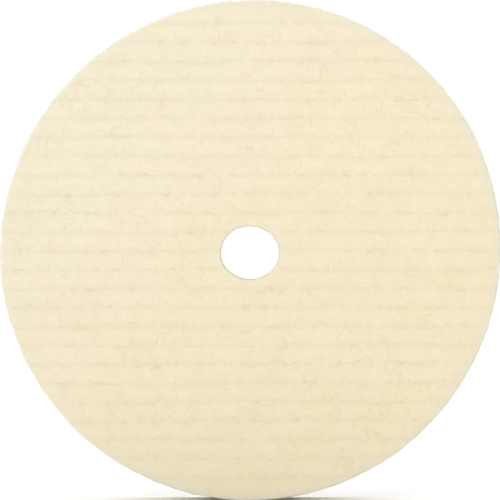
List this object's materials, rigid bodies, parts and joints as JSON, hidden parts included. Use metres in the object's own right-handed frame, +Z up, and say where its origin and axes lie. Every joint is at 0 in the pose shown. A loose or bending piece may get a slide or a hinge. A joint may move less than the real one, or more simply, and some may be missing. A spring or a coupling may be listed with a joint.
{
  "type": "felt polishing wheel",
  "caption": "Flat round needled felt polishing wheel with a small centre hole and a loop-cloth back, for a flat-lap or disc polishing machine.",
  "frame": {"origin": "centre of the wheel, halfway through its thickness", "axes": "the wheel stands on edge and spins about Y: the working face looks along -Y, the loop-cloth backing along +Y, the needle furrows run along X, and Z is up"},
  "size_m": [0.125, 0.01, 0.125],
  "materials": {
    "face_felt": "matte",
    "scrim_cloth": "matte",
    "back_felt": "matte",
    "hot_melt": "satin",
    "loop_cloth": "matte"
  },
  "bodies": {
    "root": {"felt_face_ply": "face_felt", "carrier_scrim": "scrim_cloth", "felt_back_ply": "back_felt", "adhesive_film": "hot_melt", "loop_backing": "loop_cloth"}
  },
  "joints": []
}
